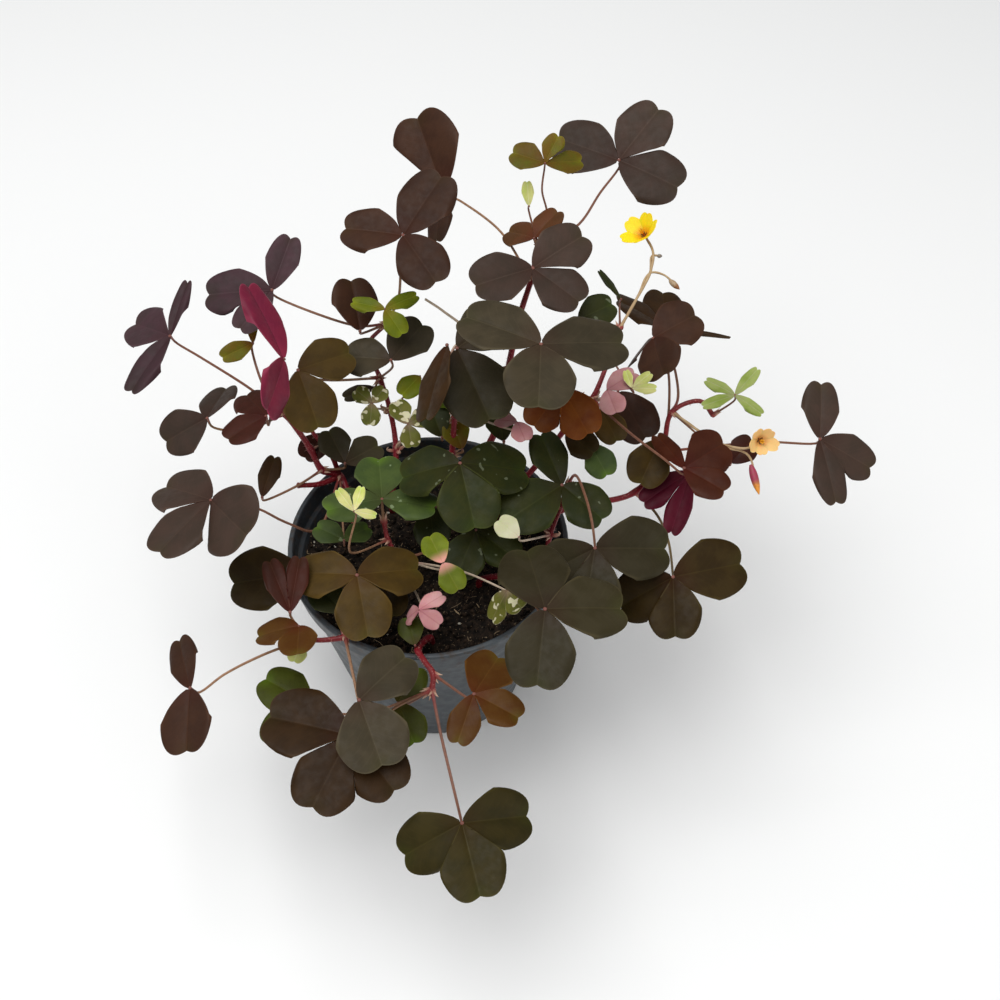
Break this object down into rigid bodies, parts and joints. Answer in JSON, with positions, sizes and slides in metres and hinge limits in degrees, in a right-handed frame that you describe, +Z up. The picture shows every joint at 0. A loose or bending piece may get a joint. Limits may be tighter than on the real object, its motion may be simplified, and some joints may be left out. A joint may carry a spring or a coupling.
{
  "type": "potted trailing sorrel plant",
  "caption": "Round tapered nursery pot of soil holding a loose, spreading plant with red stems, dark notched three-part leaves and small yellow flowers.",
  "frame": {"origin": "centre of the flat underside of the pot", "axes": "+Z up through the pot, -Y towards the front of the plant, +X to its right"},
  "size_m": [0.2869, 0.2873, 0.1904],
  "materials": {
    "pot_plastic": "smooth dark grey nursery plastic",
    "soil": "dark crumbly peat with pale fibres",
    "red_stem": "fleshy, satin, finely hairy",
    "leaf_plum": "soft satin leaf, plum grey",
    "leaf_bronze": "soft satin leaf, bronze brown",
    "leaf_dark_green": "soft satin leaf, very dark green",
    "leaf_grey_green": "soft satin leaf, dark grey green",
    "leaf_olive": "soft satin leaf, olive brown",
    "leaf_magenta": "satin leaf underside, magenta",
    "leaf_rust": "soft satin leaf, rust brown",
    "leaf_green": "soft satin young leaf, fresh green",
    "petal_yellow": "thin satin petal, yellow",
    "petal_apricot": "thin faded petal, pale orange"
  },
  "bodies": {
    "root": {"pot": "pot_plastic", "soil": "soil", "stem_back": "red_stem", "stem_back_left": "red_stem", "stem_left": "red_stem", "stem_centre": "red_stem", "stem_upper_right": "red_stem", "stem_right": "red_stem", "stem_right_middle": "red_stem", "stem_middle": "red_stem", "stem_front": "red_stem", "stem_front_left": "red_stem", "leaf_back_right": "leaf_plum", "leaf_back_high": "leaf_plum", "leaf_back_left": "leaf_bronze", "leaf_back_middle": "leaf_bronze", "leaf_back_small": "leaf_rust", "leaf_shoot_lime_back": "leaf_green", "leaf_upper_right": "leaf_bronze", "leaf_right_behind": "leaf_plum", "leaf_crown_rust": "leaf_rust", "leaf_crown": "leaf_grey_green", "leaf_crown_left": "leaf_dark_green", "leaf_crown_edge": "leaf_plum", "leaf_back_left_dark": "leaf_bronze", "leaf_shoot_lime_left": "leaf_green", "leaf_left_grey": "leaf_grey_green", "leaf_left_far_upper": "leaf_plum", "leaf_left_magenta": "leaf_magenta", "leaf_left_far": "leaf_plum", "leaf_left_small": "leaf_green", "leaf_left_middle": "leaf_plum", "leaf_left_rust": "leaf_rust", "leaf_left_olive": "leaf_olive", "leaf_left_low": "leaf_plum", "leaf_front_left_dark": "leaf_bronze", "leaf_front_left_rust": "leaf_rust", "leaf_front_left_small": "leaf_rust", "leaf_front_far_left": "leaf_plum", "leaf_middle": "leaf_green", "leaf_centre": "leaf_dark_green", "leaf_front_middle": "leaf_olive", "leaf_right_brown": "leaf_bronze", "leaf_right_purple": "leaf_magenta", "leaf_far_right": "leaf_bronze", "leaf_shoot_lime_right": "leaf_green", "leaf_right_middle": "leaf_dark_green", "leaf_right_inner": "leaf_dark_green", "leaf_front_right": "leaf_grey_green", "leaf_right_low": "leaf_bronze", "leaf_front_low": "leaf_bronze", "leaf_front_grey": "leaf_grey_green", "leaf_front_rust": "leaf_rust", "leaf_front_far": "leaf_bronze", "leaf_front_green": "leaf_green", "leaf_front_olive": "leaf_green", "leaf_right_dark": "leaf_bronze", "leaf_right_olive": "leaf_olive", "flower_yellow": "petal_yellow", "flower_apricot": "petal_apricot"}
  },
  "joints": []
}
